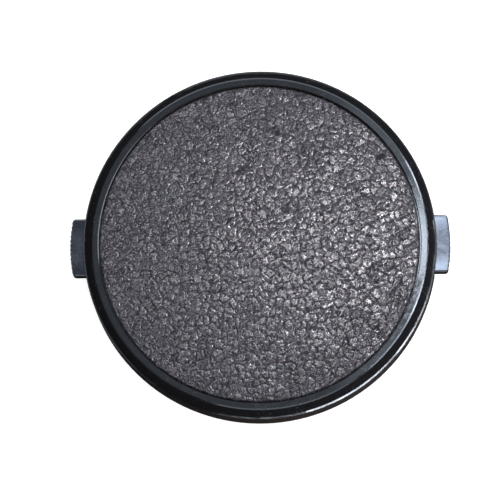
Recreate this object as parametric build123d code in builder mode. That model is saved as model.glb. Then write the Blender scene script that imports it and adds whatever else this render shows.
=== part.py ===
from build123d import *
import os
from math import degrees, sqrt

# Clip-on lens cap: a moulded cap with a leatherette inlay and two sprung side latches.
# Millimetres. The origin is on the cap's axis at the plug's lower edge, the outer face looks
# up (+Z), and the two finger tabs lie along X.

# Lens thread that the cap clips into
thread_diameter = 55.0
thread_pitch = 0.75
thread_depth = 0.41

# Outer face and skirt
flange_overhang = 1.5
skirt_height = 5.4
skirt_wall = 1.2
bevel_width = 1.43
bevel_drop = 0.9
land_width = 1.12
rim_edge = 0.25
land_edge = 0.12
skirt_edge = 0.2
face_thickness = 0.9

# Leatherette inlay
inlay_thickness = 0.5
inlay_sink = 0.45
inlay_gap = 0.15
inlay_edge = 0.15

# Plug ring that enters the thread
plug_length = 3.0
plug_wall = 1.3
plug_clearance = 0.4
plug_lead_in = 0.35

# Latches: slider, finger tab and toothed jaw in one moulding
latch_thickness = 2.7
latch_travel = 1.8
slider_inner_end = 6.0
jaw_width = 15.6
jaw_wall = 1.6
jaw_lift = 0.3
jaw_tip_relief = 0.1
tooth_height = 0.5
tooth_flat = 0.1
tooth_margin = 0.15
tab_width = 9.5
tab_reach = 2.25
tab_face_radius = 24.0
tab_corner = 0.6
tab_edge = 0.25
grip_pitch = 0.75
grip_depth = 0.2

# Running fits
lift_clearance = 0.1
side_clearance = 0.15
stop_gap = 0.15

# Coil springs and their seats
wire_diameter = 0.35
coil_diameter = 2.3
coil_turns = 4
wire_sides = 5
coil_end_gap = 0.05
peg_clearance = 0.1
peg_length = 1.6
pocket_depth = 2.5
pocket_clearance = 0.35

# Inner walls of the body
rail_thickness = 1.0
anvil_thickness = 1.6
stop_rib_thickness = 1.2
stop_rib_spacing = 10.8

# Back cover and the four heat-formed stakes that hold it
cover_thickness = 0.8
cover_clearance = 0.15
cover_edge = 0.2
stake_spacing_x = 18.0
stake_spacing_y = 32.0
stake_diameter = 1.8
stake_clearance = 0.1
boss_diameter = 3.6
head_diameter = 3.0
head_height = 0.45
head_slope = 35.0

# Radii worked out from the thread
thread_radius = thread_diameter / 2
flange_r = thread_radius + flange_overhang
land_outer_r = flange_r - bevel_width
land_inner_r = land_outer_r - land_width
inlay_r = land_inner_r - inlay_gap
skirt_inner_r = flange_r - skirt_wall
plug_outer_r = thread_radius - thread_depth - plug_clearance
plug_inner_r = plug_outer_r - plug_wall
tooth_tip_r = thread_radius - jaw_tip_relief
tooth_root_r = tooth_tip_r - tooth_height
jaw_inner_r = tooth_root_r - jaw_wall
shoulder_r = skirt_inner_r - stop_gap
tab_tip_x = flange_r + tab_reach
cover_r = plug_inner_r - cover_clearance

# Heights, from the plug's lower edge up
seat_z = plug_length
rim_z = seat_z + skirt_height
land_z = rim_z + bevel_drop
recess_z = land_z - inlay_sink - inlay_thickness
ceiling_z = recess_z - face_thickness
latch_top_z = ceiling_z - lift_clearance
latch_bottom_z = latch_top_z - latch_thickness
cover_top_z = latch_bottom_z - lift_clearance
cover_bottom_z = cover_top_z - cover_thickness
spring_z = (latch_top_z + latch_bottom_z) / 2

# Places along the latches
jaw_gap_width = jaw_width + 2 * side_clearance
tab_gap_width = tab_width + 2 * side_clearance
tab_face_x = tab_tip_x - tab_face_radius
pocket_width = coil_diameter + 2 * pocket_clearance
pocket_end_x = slider_inner_end + pocket_depth
anvil_face_x = anvil_thickness / 2
stop_x = slider_inner_end - latch_travel - stop_gap
peg_radius = coil_diameter / 2 - wire_diameter - peg_clearance
jaw_corner_x = sqrt(jaw_inner_r**2 - (jaw_width / 2) ** 2)
cover_notch_x = jaw_corner_x - latch_travel - side_clearance


# One moulding: face plate, rim, skirt, plug ring, rails, spring anvil, bosses and stakes
with BuildPart() as cap_body:
    with BuildSketch(Plane.XZ) as wall_section:
        with BuildLine():
            Polyline(
                (0, ceiling_z),
                (plug_inner_r, ceiling_z),
                (plug_inner_r, 0),
                (plug_outer_r, 0),
                (plug_outer_r, ceiling_z),
                (skirt_inner_r, ceiling_z),
                (skirt_inner_r, seat_z),
                (flange_r, seat_z),
                (flange_r, rim_z),
                (land_outer_r, land_z),
                (land_inner_r, land_z),
                (land_inner_r, recess_z),
                (0, recess_z),
                close=True,
            )
        make_face()
        chamfer(wall_section.vertices().sort_by_distance((plug_outer_r, 0))[0], plug_lead_in)
        chamfer(wall_section.vertices().sort_by_distance((flange_r, seat_z))[0], skirt_edge)
        chamfer(wall_section.vertices().sort_by_distance((flange_r, rim_z))[0], rim_edge)
        chamfer(wall_section.vertices().sort_by_distance((land_outer_r, land_z))[0], land_edge)
        chamfer(wall_section.vertices().sort_by_distance((land_inner_r, land_z))[0], land_edge)
    revolve(axis=Axis.Z)

    # Windows in the plug ring for the jaws, and notches in the skirt for the finger tabs
    with BuildSketch() as jaw_windows:
        Circle(skirt_inner_r)
        Rectangle(2 * skirt_inner_r, jaw_gap_width, mode=Mode.INTERSECT)
    extrude(amount=ceiling_z, mode=Mode.SUBTRACT)
    with BuildSketch(Plane.XY.offset(seat_z)) as tab_notches:
        Rectangle(2 * tab_tip_x, tab_gap_width)
    extrude(amount=ceiling_z - seat_z, mode=Mode.SUBTRACT)

    # Guide rails from ring to ring, with the spring anvil and the travel stops between them
    with BuildSketch(Plane.XY.offset(cover_top_z)) as inner_walls:
        with GridLocations(0, jaw_gap_width + rail_thickness, 1, 2):
            Rectangle(2 * plug_outer_r, rail_thickness)
        Rectangle(anvil_thickness, jaw_gap_width + rail_thickness)
        with GridLocations(0, stop_rib_spacing, 1, 2):
            Rectangle(2 * stop_x, stop_rib_thickness)
        Circle(plug_inner_r + plug_wall / 2, mode=Mode.INTERSECT)
    extrude(amount=ceiling_z - cover_top_z)
    with BuildSketch(Plane.YZ) as anvil_pegs:
        with Locations((0, spring_z)):
            Circle(peg_radius)
    extrude(amount=anvil_face_x + peg_length, both=True)

    # Bosses that space the back cover, with stakes formed over into round heads
    with BuildSketch(Plane.XY.offset(cover_top_z)) as bosses:
        with GridLocations(stake_spacing_x, stake_spacing_y, 2, 2):
            Circle(boss_diameter / 2)
    extrude(amount=ceiling_z - cover_top_z)
    with BuildSketch(Plane.XY.offset(cover_bottom_z)) as stakes:
        with GridLocations(stake_spacing_x, stake_spacing_y, 2, 2):
            Circle(stake_diameter / 2)
    extrude(amount=cover_thickness)
    with BuildSketch(Plane.XY.offset(cover_bottom_z)) as heads:
        with GridLocations(stake_spacing_x, stake_spacing_y, 2, 2):
            Circle(head_diameter / 2)
    extrude(amount=-head_height, taper=head_slope)

# Leatherette glued into the recess of the outer face
with BuildPart() as leatherette_disc:
    with BuildSketch(Plane.XY.offset(recess_z)) as inlay:
        Circle(inlay_r)
    extrude(amount=inlay_thickness)
    chamfer(leatherette_disc.faces().sort_by(Axis.Z)[-1].edges(), inlay_edge)

# Back cover: a thin plate that closes the latch space, notched for the jaws' travel
with BuildPart() as back_cover:
    with BuildSketch(Plane.XY.offset(cover_bottom_z)) as plate:
        Circle(cover_r)
        with GridLocations(2 * (cover_notch_x + cover_r), 0, 2, 1):
            Rectangle(2 * cover_r, jaw_gap_width, mode=Mode.SUBTRACT)
        with GridLocations(stake_spacing_x, stake_spacing_y, 2, 2):
            Circle(stake_diameter / 2 + stake_clearance, mode=Mode.SUBTRACT)
    extrude(amount=cover_thickness)
    outer_arcs = back_cover.faces().sort_by(Axis.Z)[0].outer_wire().edges().filter_by(GeomType.CIRCLE)
    chamfer(outer_arcs, cover_edge)

# Jaw teeth match the lens thread, as many as the plug's length holds
tooth_count = int((plug_length - jaw_lift - 2 * tooth_margin) / thread_pitch)
tooth_flank = (thread_pitch - 2 * tooth_flat) / 2
jaw_profile = [(jaw_inner_r, latch_bottom_z), (jaw_inner_r, jaw_lift), (tooth_root_r, jaw_lift)]
for tooth in range(tooth_count):
    tooth_z = jaw_lift + tooth_margin + tooth * thread_pitch
    jaw_profile += [
        (tooth_root_r, tooth_z + tooth_flat / 2),
        (tooth_tip_r, tooth_z + tooth_flat / 2 + tooth_flank),
        (tooth_tip_r, tooth_z + tooth_flat * 3 / 2 + tooth_flank),
        (tooth_root_r, tooth_z + thread_pitch - tooth_flat / 2),
    ]
jaw_profile.append((tooth_root_r, latch_bottom_z))

# Upright grip grooves over the straight part of the tab's outer face
grip_step = degrees(grip_pitch / tab_face_radius)
grip_count = int((tab_width - 2 * tab_corner) / grip_pitch)
grip_span = (grip_count - 1) * grip_step

# Right latch, on the +X side
with BuildPart() as right_latch:
    # Toothed jaw, turned about the cap's axis and trimmed to the jaw's width
    with BuildSketch(Plane((0, 0, 0), x_dir=(0, -1, 0), z_dir=(-1, 0, 0))) as jaw_section:
        with BuildLine():
            Polyline(*jaw_profile, close=True)
        make_face()
    revolve(axis=Axis.Z, revolution_arc=180)
    with BuildSketch() as jaw_plan:
        with Locations((tooth_tip_r, 0)):
            Rectangle(2 * tooth_tip_r, jaw_width)
    extrude(amount=latch_bottom_z, mode=Mode.INTERSECT)

    # Finger tab with a curved outer face, broken edges and grip grooves
    with BuildSketch(Plane.XY.offset(latch_bottom_z)) as tab_plan:
        with Locations((tab_face_x, 0)):
            Circle(tab_face_radius)
        Circle(shoulder_r - stop_gap, mode=Mode.SUBTRACT)
        with Locations((tab_tip_x, 0)):
            Rectangle(2 * tab_tip_x, tab_width, mode=Mode.INTERSECT)
        fillet(tab_plan.vertices().group_by(Axis.X)[-1], tab_corner)
    extrude(amount=latch_thickness)
    tab = right_latch.solids().sort_by(Axis.X)[-1]
    tab_faces = tab.faces().filter_by(Axis.Z)
    tab_edges = [edge for face in tab_faces for edge in face.edges().sort_by(Axis.X)[1:]]
    chamfer(tab_edges, tab_edge)
    with BuildSketch(Plane.XY.offset(latch_bottom_z)) as grip_grooves:
        with Locations((tab_face_x, 0)):
            with PolarLocations(tab_face_radius, grip_count, -grip_span / 2, grip_span, endpoint=True):
                RegularPolygon(grip_depth, 4)
    extrude(amount=latch_thickness, mode=Mode.SUBTRACT)

    # Slider plate between the rails, with the spring pocket and its peg
    with BuildSketch(Plane.XY.offset(latch_bottom_z)) as slider_plan:
        Circle(shoulder_r)
        with Locations((slider_inner_end + shoulder_r, 0)):
            Rectangle(2 * shoulder_r, jaw_width, mode=Mode.INTERSECT)
        with Locations((slider_inner_end + pocket_depth / 2, 0)):
            Rectangle(pocket_depth, pocket_width, mode=Mode.SUBTRACT)
    extrude(amount=latch_thickness)
    with BuildSketch(Plane.YZ.offset(pocket_end_x)) as peg:
        with Locations((0, spring_z)):
            Circle(peg_radius)
    extrude(amount=-peg_length)

# Left latch, the same moulding facing the other way
with BuildPart() as left_latch:
    mirror(right_latch.part, about=Plane.YZ)

# Right coil spring, from the anvil to the end of the slider's pocket
with BuildPart() as right_spring:
    coil_start_x = anvil_face_x + wire_diameter / 2 + coil_end_gap
    coil_run = pocket_end_x - anvil_face_x - wire_diameter - 2 * coil_end_gap
    coil_radius = (coil_diameter - wire_diameter) / 2
    with BuildLine() as coil:
        Helix(coil_run / coil_turns, coil_run, coil_radius, (coil_start_x, 0, spring_z), (1, 0, 0))
    with BuildSketch(Plane(coil.line @ 0, z_dir=coil.line % 0)) as wire:
        RegularPolygon(wire_diameter / 2, wire_sides)
    sweep(path=coil.line, is_frenet=True)

# Left coil spring, the same spring turned half round
with BuildPart() as left_spring:
    add(right_spring.part, rotation=(0, 0, 180))

os.makedirs("parts", exist_ok=True)
pieces = {
    "cap_body": cap_body,
    "leatherette_disc": leatherette_disc,
    "back_cover": back_cover,
    "left_latch": left_latch,
    "right_latch": right_latch,
    "left_spring": left_spring,
    "right_spring": right_spring,
}
for name, piece in pieces.items():
    piece.part.label = name
    export_step(piece.part, f"parts/{name}.step")
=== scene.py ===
import math
from collections import namedtuple

import bmesh
import bpy
import numpy as np
from mathutils import Matrix, Vector


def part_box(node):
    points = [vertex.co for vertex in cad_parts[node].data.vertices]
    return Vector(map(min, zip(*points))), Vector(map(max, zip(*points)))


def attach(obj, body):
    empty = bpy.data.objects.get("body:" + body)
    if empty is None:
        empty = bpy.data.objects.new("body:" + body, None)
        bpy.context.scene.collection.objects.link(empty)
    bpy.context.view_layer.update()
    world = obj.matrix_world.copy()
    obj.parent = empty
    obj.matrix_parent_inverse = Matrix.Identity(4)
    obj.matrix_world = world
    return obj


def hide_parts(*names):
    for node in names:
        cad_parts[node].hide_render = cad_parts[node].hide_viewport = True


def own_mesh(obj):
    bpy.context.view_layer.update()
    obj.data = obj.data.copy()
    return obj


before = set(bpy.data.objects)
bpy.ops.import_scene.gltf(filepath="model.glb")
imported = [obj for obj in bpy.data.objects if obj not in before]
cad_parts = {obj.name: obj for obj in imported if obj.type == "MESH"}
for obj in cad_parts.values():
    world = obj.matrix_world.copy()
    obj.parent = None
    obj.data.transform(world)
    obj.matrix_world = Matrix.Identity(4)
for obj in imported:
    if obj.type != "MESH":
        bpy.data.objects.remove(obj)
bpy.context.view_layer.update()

MM = 0.001

# Sizes read from the solids
LAND_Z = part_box("cap_body")[1].z
RIM_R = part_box("cap_body")[1].x
DISC_LOW, DISC_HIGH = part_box("leatherette_disc")

# Mouldings: faces are told apart by how far their normals rise, edges by how far they turn
WELD = 1e-4 * MM
FLAT_TURN = math.radians(0.1)
CRISP_TURN = math.radians(50)
FLAT_TOP_RISE = 0.999
BROKEN_EDGE_RISE = (0.6, 0.985)
BROKEN_EDGE_TURN = math.radians(12)
WALL_RISE = 0.3
RIM_EDGE_RISE = (0.4, 0.6)
RIM_EDGE_WIDTH = 0.25 * MM
WORN_EDGE_SLOPE = 0.92

# Moulded plastic: scales per millimetre, how scratches run, the orange peel, and how far from a
# tab's middle, in millimetres, fingers press
CLOUD_SCALE, SPECK_SCALE, BLOTCH_SCALE, PEEL_SCALE = 0.35, 3.2, 1.1, 2.5
SCRATCH_TURN, SCRATCH_SCALE = 0.6, (0.25, 6, 1)
PEEL_STRENGTH, PEEL_DEPTH = 0.25, 0.02 * MM
PRESSED, UNTOUCHED = 1.8, 4.2
POLISHED_BLACK, POLISHED_WORN = (0.006, 0.006, 0.007, 1), (0.05, 0.052, 0.058, 1)
MATT_BLACK, MATT_WORN = (0.02, 0.0165, 0.0165, 1), (0.03, 0.027, 0.027, 1)
COVER_BLACK, COVER_WORN = (0.016, 0.016, 0.017, 1), (0.04, 0.04, 0.042, 1)
FACE_TINT, TAB_TINT = (0.78, 0.88, 1.0, 1), (0.66, 0.79, 1.0, 1)

# Leatherette sheet: depth of its grain, roll of its edge, and points along a side of its grid
RELIEF = 0.1 * MM
EDGE_ROLL = 0.25 * MM
TOP_SLACK = 0.01 * MM
DISC_GRID = 300

# Leatherette grain: sizes in millimetres, scales per millimetre, and how dark the painted shade on
# a line's floor is
PEBBLE, PEBBLE_SEAM, PEBBLE_FLOOR, PEBBLE_GROOVE = 1.3, 0.14, 0.35, 0.25
GRAIN, GRAIN_SEAM, GRAIN_FLOOR = 0.42, 0.3, 0.05
WRINKLE_SCALE, WRINKLE_WIDTH, WRINKLE_FLOOR, WRINKLE_GROOVE = 2.2, 0.06, 0.25, 0.75
CRINKLE_SCALE, CRINKLE_WIDTH, CRINKLE_FLOOR = 4.2, 0.05, 0.35
RUBBED_SCALE = 2.9
SWELL_SCALE, SWELL = 0.3, 0.35
WANDER = ((0.6, 0.9), (1.6, 0.6), (4.0, 0.2))
CREASE_SLANT = math.radians(52.0)
CREASE_ALONG, CREASE_ACROSS, CREASE_WIDTH = 0.3, 1.1, 0.035
SPARED_SCALE, SPARED_FROM, SPARED_TO = 0.3, 0.56, 0.62

# Leatherette finish
LEATHER_SHINE = 0.28
# The crease colour is painted shade in the grain's creases, seams and crinkles; the top colour is
# the grain's own.
CREASE_SHADE_COLOUR, TOP_COLOUR = (0.009, 0.0085, 0.012, 1), (0.159, 0.154, 0.167, 1)
ROSE_CAST, BLUE_CAST, CAST_SCALE = (0.97, 0.91, 0.95, 1), (0.88, 0.93, 1.0, 1), 0.9
PORE_SCALE, PORE_SHARE, LEAN_DEPTH = 5.0, 0.06, 0.07 * MM
CROWN_FROM, CROWN_TO = 0.55, 0.95
CREASE_ROUGHNESS, CROWN_ROUGHNESS = 0.9, 0.1
FRESH_ROUGHNESS, WORN_ROUGHNESS = 0.24, 0.13

# Coil springs, closed at both ends
SPRING_WIRE = 0.35 * MM
SPRING_TURNS = 9.0
CLOSED_TURNS = 2.0
CLOSED_WIRES = 3.0
SPRING_STEPS_PER_TURN = 28
SPRING_SIDES = 10
DARK_STEEL, LIGHT_STEEL = (0.5, 0.49, 0.47, 1), (0.66, 0.65, 0.63, 1)

# Floor: half its width, its colour, its glow, and where the glow fades out under the cap as painted
# shade
FLOOR_HALF = 1.5
FLOOR_COLOUR = (0.5, 0.5, 0.5, 1)
FLOOR_GLOW = 0.92
GLOW_STARTS, GLOW_FULL = RIM_R - 3.5 * MM, RIM_R - 0.5 * MM

# Photograph's frame and the camera that matches it
PHOTO_WIDTH = 500
CAP_CENTRE_PX = (259.5, 243.1)
PHOTO_CENTRE_PX = (250.0, 249.0)
RIM_RADIUS_PX = 177.0
CAMERA_DISTANCE = 1.0
CAMERA_AZIMUTH = math.radians(12.0)
CAMERA_ELEVATION = math.radians(79.4)
CAMERA_ROLL = math.radians(0.68)
SENSOR_WIDTH = 36.0
NEAREST_SEEN = 0.01

# Lamp colours and the dim room
PALE, COOL, SKY = (0.97, 0.98, 1.0), (0.95, 0.98, 1.0), (0.9, 0.95, 1.0)
VIOLET, BLUISH = (0.99, 0.96, 1.0), (0.95, 0.96, 1.0)
WARM, DAYLIGHT = (1.0, 0.98, 0.96), (1.0, 0.98, 0.97)
ROOM_COLOUR = (0.04, 0.04, 0.042, 1)

# Lamps that hang facing down: where on the land the camera sees them mirrored, height, size,
# power and colour
HANGING_LAMPS = (
    ("pane", (0.032, 0.0), 0.16, (0.02, 0.013), 0.0196, PALE),
    ("spark", (0.0145, -0.0025), 0.16, (0.018, 0.014), 0.068, VIOLET),
    ("band", (0.001, -0.001), 0.16, (0.04, 0.016), 0.026, VIOLET),
    ("glow", (0.044, 0.002), 0.165, (0.07, 0.075), 0.03, PALE),
    ("ceiling", (0.085, 0.0), 0.8, (0.45, 0.45), 0.62, SKY),
)

# Lamps that stand round the cap: place, the point at the land's height that they face, size,
# power and colour
CENTRE = (0, 0)
STANDING_LAMPS = (
    ("window", (0.111, 0.035, 0.16), (0, 0.035), (0.13, 0.011), 0.17, DAYLIGHT),
    ("fill", (-0.4, -0.1, 0.6), CENTRE, (0.4, 0.4), 0.15, BLUISH),
    ("front_strip", (0.06, -0.36, 0.8), CENTRE, (0.55, 0.09), 0.6, COOL),
    ("back_strip", (0.02, 0.15, 0.16), CENTRE, (0.26, 0.095), 0.32, COOL),
    ("edge_strip", (0.393, -0.138, 0.8), (0.07, 0.098), (0.27, 0.045), 0.64, PALE),
    ("low_window", (0.273, -0.293, 0.0345), CENTRE, (0.42, 0.018), 0.99, WARM),
    ("low_corner", (0.371, -0.15, 0.0225), CENTRE, (0.16, 0.02), 0.42, WARM),
    ("low_pane", (0.346, -0.2, 0.06), CENTRE, (0.2, 0.03), 0.17, WARM),
    ("low_strip", (-0.02, -0.4, 0.05), CENTRE, (0.24, 0.018), 0.26, WARM),
    ("side_strip", (0.4, 0.0, 0.038), CENTRE, (0.24, 0.072), 0.54, COOL),
)

# One layer of the leatherette's cells: how near a point is to its cell's edge, a random share
# for the cell, and the height of a facet that leans at random across the cell
Cells = namedtuple("Cells", "edge share facet")


def add_node(tree, kind, inputs=None, **settings):
    """A node of that kind, with its settings made and its inputs set to values or joined to
    sockets."""
    node = tree.nodes.new(kind)
    for key, value in settings.items():
        setattr(node, key, value)
    for key, value in (inputs or {}).items():
        if isinstance(value, bpy.types.NodeSocket):
            tree.links.new(value, node.inputs[key])
        else:
            node.inputs[key].default_value = value
    return node


def math_node(tree, operation, first, second=0.0, clamp=False):
    """The result of one sum on two values or sockets."""
    node = add_node(tree, "ShaderNodeMath", {0: first, 1: second},
                    operation=operation, use_clamp=clamp)
    return node.outputs[0]


def sum_of(tree, *terms):
    """The sum of values or sockets, each times its weight."""
    total = None
    for value, weight in terms:
        term = math_node(tree, "MULTIPLY", value, weight)
        total = term if total is None else math_node(tree, "ADD", total, term)
    return total


def product_of(tree, first, *others):
    """The product of values or sockets."""
    for other in others:
        first = math_node(tree, "MULTIPLY", first, other)
    return first


def vector_math(tree, operation, first, second):
    """The result of one sum on two vectors or sockets."""
    node = add_node(tree, "ShaderNodeVectorMath", {0: first, 1: second}, operation=operation)
    return node.outputs["Value" if operation == "DOT_PRODUCT" else "Vector"]


def in_millimetres(tree, place):
    """A place in metres, in millimetres."""
    node = add_node(tree, "ShaderNodeVectorMath", {0: place, "Scale": 1 / MM}, operation="SCALE")
    return node.outputs["Vector"]


def length_of(tree, vector):
    """The length of a vector."""
    node = add_node(tree, "ShaderNodeVectorMath", {0: vector}, operation="LENGTH")
    return node.outputs["Value"]


def smooth_step(tree, value, low, high, start=0.0, end=1.0):
    """Value between low and high, eased to run from start to end."""
    node = add_node(
        tree,
        "ShaderNodeMapRange",
        {"Value": value, "From Min": low, "From Max": high, "To Min": start, "To Max": end},
        interpolation_type="SMOOTHSTEP",
    )
    return node.outputs[0]


def lifted(tree, share, floor):
    """A share from 0 to 1, eased and lifted to start at a floor."""
    return smooth_step(tree, share, 0.0, 1.0, floor)


def thin_line(tree, wave, width, floor=0.0):
    """A floor along the line where a noise crosses its middle, and 1 beside it."""
    away = math_node(tree, "ABSOLUTE", math_node(tree, "SUBTRACT", wave, 0.5))
    return smooth_step(tree, away, 0.0, width, floor)


def mix_colour(tree, factor, first, second, blend="MIX"):
    """Two colours mixed by a factor."""
    node = add_node(tree, "ShaderNodeMix", {0: factor, 6: first, 7: second},
                    data_type="RGBA", blend_type=blend, clamp_factor=True)
    return node.outputs[2]


def noise(tree, place, scale, detail=2.0, flat=False, output=0):
    """Noise, from 0 to 1, with its scale per millimetre of place."""
    node = add_node(
        tree,
        "ShaderNodeTexNoise",
        {"Vector": place, "Scale": scale, "Detail": detail},
        noise_dimensions="2D" if flat else "3D",
    )
    return node.outputs[output]


def new_material(name):
    """A material with its tree, its shader and the place on the piece in millimetres."""
    material = bpy.data.materials.new(name)
    material.use_nodes = True
    tree = material.node_tree
    coordinates = add_node(tree, "ShaderNodeTexCoord")
    place = in_millimetres(tree, coordinates.outputs["Object"])
    return material, tree, tree.nodes["Principled BSDF"], place


def leather_cells(tree, place, size):
    """One layer of irregular cells of about a size, in millimetres."""
    pattern = {"Vector": place, "Scale": 1 / size}
    edge = add_node(tree, "ShaderNodeTexVoronoi", pattern,
                    voronoi_dimensions="2D", feature="DISTANCE_TO_EDGE")
    cell = add_node(tree, "ShaderNodeTexVoronoi", pattern,
                    voronoi_dimensions="2D", feature="F1")
    lean = vector_math(tree, "SUBTRACT", cell.outputs["Color"], (0.5, 0.5, 0.5))
    across = vector_math(tree, "SUBTRACT", place, cell.outputs["Position"])
    across = vector_math(tree, "MULTIPLY", across, (1, 1, 0))
    share = add_node(tree, "ShaderNodeSeparateXYZ", {0: cell.outputs["Color"]}).outputs[0]
    facet = vector_math(tree, "DOT_PRODUCT", lean, across)
    return Cells(edge.outputs["Distance"], share, facet)


def stretch_creases(tree, place):
    """Short slanting creases where the sheet was stretched: 0 on a crease and 1 beside it."""
    cosine, sine = math.cos(CREASE_SLANT), math.sin(CREASE_SLANT)
    along = vector_math(tree, "DOT_PRODUCT", place, (cosine, sine, 0))
    across = vector_math(tree, "DOT_PRODUCT", place, (-sine, cosine, 0))
    drawn = add_node(tree, "ShaderNodeCombineXYZ", {
        0: math_node(tree, "MULTIPLY", along, CREASE_ALONG),
        1: math_node(tree, "MULTIPLY", across, CREASE_ACROSS),
    })
    line = thin_line(tree, noise(tree, drawn.outputs[0], 1.0, 1.0, flat=True), CREASE_WIDTH)
    stretched = noise(tree, place, SPARED_SCALE, 1.0, flat=True)
    spared = smooth_step(tree, stretched, SPARED_FROM, SPARED_TO, 1.0, 0.0)
    return math_node(tree, "MAXIMUM", line, spared)


def leather_layers(tree, place):
    """What the grain's relief and its finish share, at a place in millimetres: the place bent to
    and fro, its pebbles, its small grains, the seams between pebbles, and its wrinkles. Seams and
    wrinkles are 0 on a line and 1 beside it."""
    bent = place
    for scale, reach in WANDER:
        sway = noise(tree, place, scale, 1.0, flat=True, output="Color")
        sway = vector_math(tree, "SUBTRACT", sway, (0.5, 0.5, 0.5))
        bent = vector_math(tree, "ADD", bent,
                           vector_math(tree, "MULTIPLY", sway, (reach, reach, 0)))
    pebbles = leather_cells(tree, bent, PEBBLE)
    grains = leather_cells(tree, bent, GRAIN)
    seams = smooth_step(tree, pebbles.edge, 0.0, PEBBLE_SEAM)
    wrinkles = thin_line(tree, noise(tree, bent, WRINKLE_SCALE, 2.0, flat=True), WRINKLE_WIDTH)
    return bent, pebbles, grains, seams, wrinkles


def leather_height(tree, place):
    """The grain's height at a place in millimetres, from 0 in the creases to 1 on the tops."""
    _, pebbles, grains, seams, wrinkles = leather_layers(tree, place)
    tops = sum_of(tree, (pebbles.share, 0.2), (pebbles.facet, 0.6), (grains.facet, 0.3), (1.0, 0.7))
    grooves = product_of(tree, lifted(tree, wrinkles, WRINKLE_GROOVE),
                         lifted(tree, seams, PEBBLE_GROOVE))
    pebbled = math_node(tree, "MULTIPLY", grooves, tops, clamp=True)
    swell = noise(tree, place, SWELL_SCALE, 1.0, flat=True)
    return sum_of(tree, (pebbled, 1.0 - SWELL), (swell, SWELL))


def leather_tone_and_crease_shade(tree, place):
    """What the finish needs at a place in millimetres: the grain's lightness, with painted shade
    darkening its creases, from 0 in the darkest crease to 1 on the lightest grain, its crowns,
    which are 1 on flat tops, the lean of its plates, and a random share for each pebble."""
    bent, pebbles, grains, seams, wrinkles = leather_layers(tree, place)
    # Painted shade: the colour darkens along the stretch creases, pebble seams and wrinkles, the
    # fine crinkles and the grain's seams, each line down to its floor.
    crown = product_of(tree, stretch_creases(tree, place), lifted(tree, seams, PEBBLE_FLOOR),
                       lifted(tree, wrinkles, WRINKLE_FLOOR))
    crinkles = thin_line(tree, noise(tree, bent, CRINKLE_SCALE, 1.0, flat=True),
                         CRINKLE_WIDTH, CRINKLE_FLOOR)
    grain = smooth_step(tree, grains.edge, 0.0, GRAIN_SEAM, GRAIN_FLOOR)
    rubbed = smooth_step(tree, noise(tree, place, RUBBED_SCALE, 1.0, flat=True), 0.4, 0.6)
    light = sum_of(tree, (smooth_step(tree, pebbles.share, 0.35, 1.0), 0.6),
                   (smooth_step(tree, grains.share, 0.0, 0.9), 0.4), (rubbed, 0.75))
    shaded_tone = product_of(tree, crown, product_of(tree, grain, crinkles), light)
    lean = sum_of(tree, (pebbles.facet, 0.85), (grains.facet, 0.3))
    return shaded_tone, crown, lean, pebbles.share


def leatherette_finish():
    """Grey-black leatherette: dull creases darkened with painted shade, lighter rubbed tops that
    shine, some pebbles more than others, and a faint violet cast."""
    material, tree, shader, place = new_material("leatherette")
    shader.inputs["Specular IOR Level"].default_value = LEATHER_SHINE
    shaded_tone, crown, lean, share = leather_tone_and_crease_shade(tree, place)
    # Painted shade: the darkest creases take the crease colour, and the tops the top colour.
    colour = mix_colour(tree, shaded_tone, CREASE_SHADE_COLOUR, TOP_COLOUR)
    cast = smooth_step(tree, noise(tree, place, CAST_SCALE), 0.35, 0.65)
    cast = mix_colour(tree, cast, ROSE_CAST, BLUE_CAST)
    colour = mix_colour(tree, 1.0, colour, cast, "MULTIPLY")
    tree.links.new(colour, shader.inputs["Base Color"])
    dull = smooth_step(tree, crown, CROWN_FROM, CROWN_TO, CREASE_ROUGHNESS, CROWN_ROUGHNESS)
    worn = smooth_step(tree, share, 0.2, 0.8, FRESH_ROUGHNESS, WORN_ROUGHNESS)
    tree.links.new(math_node(tree, "MAXIMUM", dull, worn), shader.inputs["Roughness"])
    pores = noise(tree, place, PORE_SCALE)
    uneven = sum_of(tree, (lean, 1.0), (pores, PORE_SHARE))
    relief = add_node(tree, "ShaderNodeBump",
                      {"Height": uneven, "Strength": 1.0, "Distance": LEAN_DEPTH})
    tree.links.new(relief.outputs[0], shader.inputs["Normal"])
    return material


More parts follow.
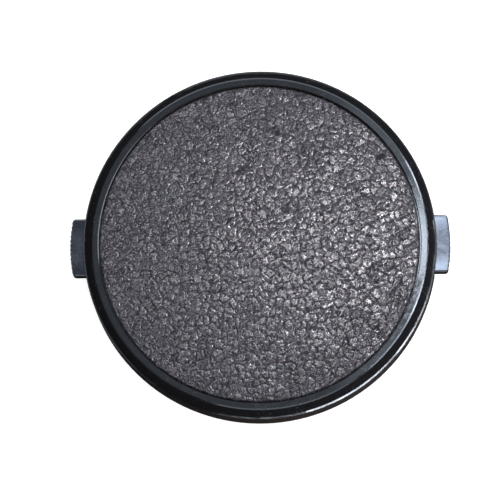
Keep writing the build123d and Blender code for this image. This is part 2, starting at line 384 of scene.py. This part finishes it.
def moulded_plastic(name, base, worn, gloss, spread=0.14, shine=0.5, tint=(1, 1, 1, 1),
                    thumbed=0.0):
    """Black moulded plastic with a faint orange peel, hair scratches and worn specks. Its
    roughness runs from gloss up, by spread. Where fingers press a tab, in its middle, it is
    duller by thumbed."""
    material, tree, shader, place = new_material(name)
    shader.inputs["Specular IOR Level"].default_value = shine
    shader.inputs["Specular Tint"].default_value = tint
    cloud = noise(tree, place, CLOUD_SCALE, 4.0)
    specks = smooth_step(tree, noise(tree, place, SPECK_SCALE), 0.62, 0.72)
    rubbed = product_of(tree, specks, smooth_step(tree, cloud, 0.45, 0.7))
    tree.links.new(mix_colour(tree, rubbed, base, worn), shader.inputs["Base Color"])
    streaks = add_node(tree, "ShaderNodeMapping", {
        "Vector": place, "Rotation": (0, 0, SCRATCH_TURN), "Scale": SCRATCH_SCALE})
    scratches = noise(tree, streaks.outputs[0], 1.0, 3.0)
    blotches = noise(tree, place, BLOTCH_SCALE, 3.0)
    uneven = sum_of(tree, (cloud, 0.4), (blotches, 0.45), (scratches, 0.15))
    roughness = smooth_step(tree, uneven, 0.35, 0.65, gloss, gloss + spread)
    if thumbed:
        across = add_node(tree, "ShaderNodeSeparateXYZ", {"Vector": place}).outputs["Y"]
        across = math_node(tree, "ABSOLUTE", across)
        across = sum_of(tree, (across, 1.0), (blotches, 2.0), (-1.0, 1.0))
        pressed = smooth_step(tree, across, PRESSED, UNTOUCHED, 1.0, 0.0)
        roughness = sum_of(tree, (roughness, 1.0), (pressed, thumbed))
    tree.links.new(roughness, shader.inputs["Roughness"])
    relief = add_node(tree, "ShaderNodeBump", {
        "Height": noise(tree, place, PEEL_SCALE), "Strength": PEEL_STRENGTH,
        "Distance": PEEL_DEPTH})
    tree.links.new(relief.outputs[0], shader.inputs["Normal"])
    return material


def spring_wire():
    """Drawn steel wire, a little uneven in its colour and its shine."""
    material, tree, shader, place = new_material("spring_steel")
    colour = mix_colour(tree, noise(tree, place, 1.5), DARK_STEEL, LIGHT_STEEL)
    tree.links.new(colour, shader.inputs["Base Color"])
    roughness = smooth_step(tree, noise(tree, place, 9.0), 0.3, 0.7, 0.25, 0.42)
    tree.links.new(roughness, shader.inputs["Roughness"])
    shader.inputs["Metallic"].default_value = 1.0
    return material


def placed(name, mesh):
    """An object of a mesh, in the scene at the origin."""
    piece = bpy.data.objects.new(name, mesh)
    bpy.context.scene.collection.objects.link(piece)
    return piece


def plain_mesh(piece):
    """Turns what a piece's modifiers make into its own mesh, and removes them."""
    bpy.context.view_layer.update()
    evaluated = piece.evaluated_get(bpy.context.evaluated_depsgraph_get())
    mesh = bpy.data.meshes.new_from_object(evaluated)
    piece.modifiers.clear()
    piece.data = mesh
    return piece


def broken_edges(work):
    """The borders of the narrow chamfers round flat top faces, as pairs of corners: these stay
    flat and crisp."""
    borders = set()
    for face in work.faces:
        if BROKEN_EDGE_RISE[0] < face.normal.z < BROKEN_EDGE_RISE[1]:
            beside = [other.normal.z for vert in face.verts for other in vert.link_faces]
            if max(beside) > FLAT_TOP_RISE:
                borders.update(edge for edge in face.edges
                               if edge.calc_face_angle(0) > BROKEN_EDGE_TURN)
    return {tuple(sorted(vert.index for vert in edge.verts)) for edge in borders}


def soften_rim(mesh):
    """Turns the shading of the rim's narrow edge half way up, as on an edge worn round."""
    normals = [corner.vector.copy() for corner in mesh.corner_normals]
    for face in mesh.polygons:
        on_rim = face.center.xy.length > RIM_R - RIM_EDGE_WIDTH and face.center.z > LAND_Z / 2
        if on_rim and RIM_EDGE_RISE[0] < face.normal.z < RIM_EDGE_RISE[1]:
            for loop in face.loop_indices:
                place = mesh.vertices[mesh.loops[loop].vertex_index].co
                rise = WORN_EDGE_SLOPE * place.xy.length
                normals[loop] = Vector((place.x, place.y, rise)).normalized()
    mesh.normals_split_custom_set(normals)


def joined_copy(node, name, polished, matt):
    """A copy of a solid's mesh with its triangles joined: its round edges shade as rounded, and
    sharper corners stay crisp. Upright walls take the matt finish, and the rest is polished."""
    work = bmesh.new()
    work.from_mesh(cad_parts[node].data)
    bmesh.ops.remove_doubles(work, verts=work.verts, dist=WELD)
    bmesh.ops.dissolve_limit(work, angle_limit=FLAT_TURN, verts=work.verts, edges=work.edges)
    work.verts.index_update()
    work.normal_update()
    borders = broken_edges(work)
    points = [vert.co[:] for vert in work.verts]
    faces = [[vert.index for vert in face.verts] for face in work.faces]
    work.free()
    mesh = bpy.data.meshes.new(name)
    mesh.from_pydata(points, [], faces)
    mesh.shade_smooth()
    mesh.set_sharp_from_angle(angle=CRISP_TURN)
    for edge in mesh.edges:
        if edge.key in borders:
            edge.use_edge_sharp = True
    mesh.materials.append(polished)
    mesh.materials.append(matt)
    for face in mesh.polygons:
        face.material_index = int(abs(face.normal.z) < WALL_RISE)
    piece = placed(name, mesh)
    weighted = piece.modifiers.new("even faces", "WEIGHTED_NORMAL")
    weighted.keep_sharp = True
    weighted.weight = 100
    plain_mesh(piece)
    soften_rim(piece.data)
    return piece


def geometry_tree(name, sizes):
    """An empty Geometry Nodes tree with a mesh in and out and a named input for each size."""
    tree = bpy.data.node_groups.new(name, "GeometryNodeTree")
    for way in ("INPUT", "OUTPUT"):
        tree.interface.new_socket("Geometry", in_out=way, socket_type="NodeSocketGeometry")
    for label in sizes:
        tree.interface.new_socket(label, in_out="INPUT", socket_type="NodeSocketFloat")
    return tree, add_node(tree, "NodeGroupInput").outputs


def end_tree(tree, geometry, material):
    """Ends a tree in plain geometry with a material."""
    real = add_node(tree, "GeometryNodeRealizeInstances", {"Geometry": geometry})
    painted = add_node(tree, "GeometryNodeSetMaterial",
                       {"Geometry": real.outputs[0], "Material": material})
    add_node(tree, "NodeGroupOutput", {"Geometry": painted.outputs[0]})


def grown_piece(name, mesh, tree, sizes):
    """A piece made by running a tree, with its sizes set, on a mesh."""
    piece = placed(name, mesh)
    modifier = piece.modifiers.new(tree.name, "NODES")
    modifier.node_group = tree
    for item in tree.interface.items_tree:
        if item.in_out == "INPUT" and item.name in sizes:
            modifier[item.identifier] = sizes[item.name]
    return plain_mesh(piece)


def flat_disc(name):
    """A closed disc with an even grid of faces on top: a square grid drawn out into a circle."""
    steps = np.linspace(-1, 1, DISC_GRID)
    u, v = np.meshgrid(steps, steps, indexing="ij")
    x = DISC_HIGH.x * u * np.sqrt(1 - v * v / 2)
    y = DISC_HIGH.x * v * np.sqrt(1 - u * u / 2)
    top = np.column_stack([x.ravel(), y.ravel(), np.full(x.size, DISC_HIGH.z)])
    last = DISC_GRID - 1
    index = np.arange(DISC_GRID * DISC_GRID).reshape(DISC_GRID, DISC_GRID)
    corners = (index[:-1, :-1], index[1:, :-1], index[1:, 1:], index[:-1, 1:])
    faces = np.column_stack([corner.ravel() for corner in corners]).tolist()
    rim = np.concatenate(
        [index[:last, 0], index[last, :last], index[last:0:-1, last], index[0, last:0:-1]]
    )
    low_rim = top[rim] * (1, 1, 0) + (0, 0, DISC_LOW.z)
    low_first = len(top)
    points = np.vstack([top, low_rim, [(0, 0, DISC_LOW.z)]])
    centre = len(points) - 1
    for here in range(len(rim)):
        after = (here + 1) % len(rim)
        faces.append([rim[after], rim[here], low_first + here, low_first + after])
        faces.append([low_first + here, centre, low_first + after])
    mesh = bpy.data.meshes.new(name)
    mesh.from_pydata(points.tolist(), [], faces)
    mesh.shade_smooth()
    return mesh


def leatherette(material):
    """The inlay, with its pebbles raised out of the sheet and its edge rolled down into the
    recess."""
    tree, sizes = geometry_tree("pebbled_leatherette", ["Relief", "Radius", "Top", "Roll"])
    position = add_node(tree, "GeometryNodeInputPosition").outputs[0]
    height = leather_height(tree, in_millimetres(tree, position))
    x, y, z = add_node(tree, "ShaderNodeSeparateXYZ", {0: position}).outputs
    flat = add_node(tree, "ShaderNodeCombineXYZ", {0: x, 1: y})
    inside = math_node(tree, "SUBTRACT", sizes["Radius"], length_of(tree, flat.outputs[0]))
    roll = math_node(tree, "DIVIDE", inside, sizes["Roll"], clamp=True)
    roll = math_node(tree, "SUBTRACT", 1.0, roll)
    roll_drop = product_of(tree, roll, roll, sizes["Roll"])
    grain_drop = product_of(tree, math_node(tree, "SUBTRACT", 1.0, height), sizes["Relief"])
    drop = math_node(tree, "ADD", roll_drop, grain_drop)
    offset = add_node(tree, "ShaderNodeCombineXYZ", {2: math_node(tree, "MULTIPLY", drop, -1.0)})
    on_top = add_node(
        tree, "FunctionNodeCompare",
        {0: z, 1: math_node(tree, "SUBTRACT", sizes["Top"], TOP_SLACK)},
        data_type="FLOAT", operation="GREATER_THAN",
    )
    raised = add_node(tree, "GeometryNodeSetPosition", {
        "Geometry": sizes["Geometry"], "Selection": on_top.outputs[0],
        "Offset": offset.outputs[0]})
    end_tree(tree, raised.outputs[0], material)
    return grown_piece(
        "leatherette", flat_disc("leatherette"), tree,
        {"Relief": RELIEF, "Radius": DISC_HIGH.x, "Top": DISC_HIGH.z, "Roll": EDGE_ROLL},
    )


def coil_tree(material):
    """A helix of round wire along X from the origin, with one closed turn at each end."""
    tree, sizes = geometry_tree("coil_spring", ["Length", "Coil radius", "Wire radius", "Turns"])
    line = add_node(tree, "GeometryNodeCurvePrimitiveLine")
    count = int(SPRING_TURNS * SPRING_STEPS_PER_TURN)
    spaced = add_node(tree, "GeometryNodeResampleCurve",
                      {"Curve": line.outputs[0], "Count": count})
    share = add_node(tree, "GeometryNodeSplineParameter").outputs["Factor"]
    turn = math_node(tree, "MULTIPLY", share, sizes["Turns"])
    wire = math_node(tree, "MULTIPLY", sizes["Wire radius"], 2.0)
    open_turns = math_node(tree, "SUBTRACT", sizes["Turns"], CLOSED_TURNS)
    closed_length = math_node(tree, "MULTIPLY", wire, CLOSED_WIRES)
    open_length = math_node(tree, "SUBTRACT", sizes["Length"], closed_length)
    pitch = math_node(tree, "DIVIDE", open_length, open_turns)
    first_turn = math_node(tree, "MINIMUM", turn, 1.0)
    middle_turns = math_node(tree, "MAXIMUM", math_node(tree, "SUBTRACT", turn, 1.0), 0.0)
    middle_turns = math_node(tree, "MINIMUM", middle_turns, open_turns)
    last_turn = math_node(tree, "SUBTRACT", turn, math_node(tree, "ADD", open_turns, 1.0))
    last_turn = math_node(tree, "MAXIMUM", last_turn, 0.0)
    along = sum_of(tree, (first_turn, wire), (middle_turns, pitch), (last_turn, wire),
                   (sizes["Wire radius"], 1.0))
    angle = math_node(tree, "MULTIPLY", turn, 2 * math.pi)
    across = product_of(tree, math_node(tree, "COSINE", angle), sizes["Coil radius"])
    upward = product_of(tree, math_node(tree, "SINE", angle), sizes["Coil radius"])
    place = add_node(tree, "ShaderNodeCombineXYZ", {0: along, 1: across, 2: upward})
    wound = add_node(tree, "GeometryNodeSetPosition",
                     {"Geometry": spaced.outputs[0], "Position": place.outputs[0]})
    section = add_node(tree, "GeometryNodeCurvePrimitiveCircle",
                       {"Resolution": SPRING_SIDES, "Radius": sizes["Wire radius"]})
    swept = add_node(tree, "GeometryNodeCurveToMesh", {
        "Curve": wound.outputs[0], "Profile Curve": section.outputs[0], "Fill Caps": True})
    smooth = add_node(tree, "GeometryNodeSetShadeSmooth", {"Geometry": swept.outputs[0]})
    end_tree(tree, smooth.outputs[0], material)
    return tree


def coil_spring(node, name, tree):
    """A spring in the place of its solid, wound from its end nearer the cap's middle."""
    low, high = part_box(node)
    length = high.x - low.x
    coil_radius = (high.z - low.z) / 2 - SPRING_WIRE / 2
    seed = bpy.data.meshes.new(name)
    spring = grown_piece(name, seed, tree, {
        "Length": length, "Coil radius": coil_radius, "Wire radius": SPRING_WIRE / 2,
        "Turns": SPRING_TURNS})
    on_right = low.x > 0
    anchor = Vector((low.x if on_right else high.x, 0, (low.z + high.z) / 2))
    turned = Matrix.Rotation(0 if on_right else math.pi, 4, "Z")
    spring.data.transform(Matrix.Translation(anchor) @ turned)
    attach(spring, "cap")
    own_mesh(spring)
    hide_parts(node)


def dress_cap():
    """Every piece of the cap, with its finish."""
    face_finish = moulded_plastic("polished_plastic", POLISHED_BLACK, POLISHED_WORN, gloss=0.05,
                                  spread=0.1, shine=0.36, tint=FACE_TINT)
    tab_finish = moulded_plastic("rubbed_plastic", POLISHED_BLACK, POLISHED_WORN, gloss=0.05,
                                 spread=0.12, tint=TAB_TINT, thumbed=0.16)
    wall_finish = moulded_plastic("matt_plastic", MATT_BLACK, MATT_WORN, gloss=0.7, shine=0.0)
    cover_finish = moulded_plastic("cover_plastic", COVER_BLACK, COVER_WORN, gloss=0.5)
    for node, body, finish, slot in (
        ("cap_body", "cap", face_finish, "body_plastic"),
        ("back_cover", "cap", cover_finish, "cover_plastic"),
        ("left_latch", "left_latch", tab_finish, "latch_plastic"),
        ("right_latch", "right_latch", tab_finish, "latch_plastic"),
    ):
        piece = joined_copy(node, node + "_moulding", finish, wall_finish)
        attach(piece, body)
        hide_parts(node)
    inlay = leatherette(leatherette_finish())
    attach(inlay, "cap")
    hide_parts("leatherette_disc")
    coil = coil_tree(spring_wire())
    coil_spring("left_spring", "left_coil_spring", coil)
    coil_spring("right_spring", "right_coil_spring", coil)


def floor():
    """A pale floor that shows white, except under the cap, where its glow fades out as painted
    shade, and keeps the cap's soft shadow.
    """
    mesh = bpy.data.meshes.new("floor")
    corners = [(x * FLOOR_HALF, y * FLOOR_HALF, 0) for x, y in ((-1, -1), (1, -1), (1, 1), (-1, 1))]
    mesh.from_pydata(corners, [], [[0, 1, 2, 3]])
    material = bpy.data.materials.new("floor")
    material.use_nodes = True
    tree = material.node_tree
    shader = tree.nodes["Principled BSDF"]
    shader.inputs["Base Color"].default_value = FLOOR_COLOUR
    shader.inputs["Roughness"].default_value = 1.0
    shader.inputs["Specular IOR Level"].default_value = 0.0
    shader.inputs["Emission Color"].default_value = (1, 1, 1, 1)
    rays = add_node(tree, "ShaderNodeLightPath").outputs
    shown = math_node(tree, "MAXIMUM", rays["Is Glossy Ray"], rays["Is Transmission Ray"])
    shown = math_node(tree, "MAXIMUM", rays["Is Camera Ray"], shown)
    away = length_of(tree, add_node(tree, "ShaderNodeTexCoord").outputs["Object"])
    # Painted shade: the glow fades out under the cap's rim, where the cap shades the floor.
    glow_beyond_painted_shade = smooth_step(tree, away, GLOW_STARTS, GLOW_FULL)
    glow = product_of(tree, shown, math_node(tree, "MULTIPLY", glow_beyond_painted_shade, FLOOR_GLOW))
    tree.links.new(glow, shader.inputs["Emission Strength"])
    mesh.materials.append(material)
    ground = placed("floor", mesh)


def area_light(name, place, aim, size, power, colour):
    """A soft rectangular lamp at a place, turned to its aim."""
    lamp = bpy.data.lights.new(name, "AREA")
    lamp.shape = "RECTANGLE"
    lamp.size, lamp.size_y = size
    lamp.energy = power
    lamp.color = colour
    light = placed(name, lamp)
    light.location = place
    light.visible_camera = False
    light.rotation_euler = (Vector(place) - Vector(aim)).to_track_quat("Z", "Y").to_euler()


def mirrored(x, y, height):
    """Where a lamp at a height has to be for the camera to see it mirrored in the land at x, y."""
    eye = bpy.context.scene.camera.matrix_world.translation
    spot = Vector((x, y, LAND_Z))
    share = (height - LAND_Z) / (eye.z - LAND_Z)
    place = spot + (spot - eye) * share
    return Vector((place.x, place.y, height))


def studio():
    """The lamps and the dim room. The hanging lamps show on the tabs and on the land's right
    side, and give the leatherette its sheen. The strips and the window draw the lines of light
    along the land's edges, and the low lamps the one along the rim."""
    for name, spot, height, size, power, colour in HANGING_LAMPS:
        place = mirrored(*spot, height)
        area_light(name, place, place + Vector((0, 0, -1)), size, power, colour)
    for name, place, aim, size, power, colour in STANDING_LAMPS:
        area_light(name, place, (*aim, LAND_Z), size, power, colour)
    world = bpy.data.worlds.new("dim_room")
    world.use_nodes = True
    world.node_tree.nodes["Background"].inputs["Color"].default_value = ROOM_COLOUR
    bpy.context.scene.world = world


def photo_camera():
    """The photograph's view: from above, leaning to the lower edge, with the tabs level."""
    camera = bpy.data.cameras.new("photo_camera")
    camera.sensor_width = SENSOR_WIDTH
    camera.lens = RIM_RADIUS_PX / PHOTO_WIDTH * SENSOR_WIDTH * CAMERA_DISTANCE / RIM_R
    camera.clip_start = NEAREST_SEEN
    back = Vector((
        math.sin(CAMERA_AZIMUTH) * math.cos(CAMERA_ELEVATION),
        -math.cos(CAMERA_AZIMUTH) * math.cos(CAMERA_ELEVATION),
        math.sin(CAMERA_ELEVATION),
    ))
    right = Vector((1, 0, 0))
    right = (right - back * right.dot(back)).normalized()
    right = Matrix.Rotation(-CAMERA_ROLL, 3, back) @ right
    up = back.cross(right)
    pixel = RIM_R / RIM_RADIUS_PX
    aside = (CAP_CENTRE_PX[0] - PHOTO_CENTRE_PX[0]) * pixel
    above = (PHOTO_CENTRE_PX[1] - CAP_CENTRE_PX[1]) * pixel
    target = Vector((0, 0, LAND_Z)) - right * aside - up * above
    turned = Matrix((right, up, back)).transposed().to_4x4()
    holder = placed("photo_camera", camera)
    holder.matrix_world = Matrix.Translation(target + back * CAMERA_DISTANCE) @ turned
    bpy.context.scene.camera = holder


dress_cap()
floor()
photo_camera()
studio()
bpy.context.scene.view_settings.view_transform = "Standard"
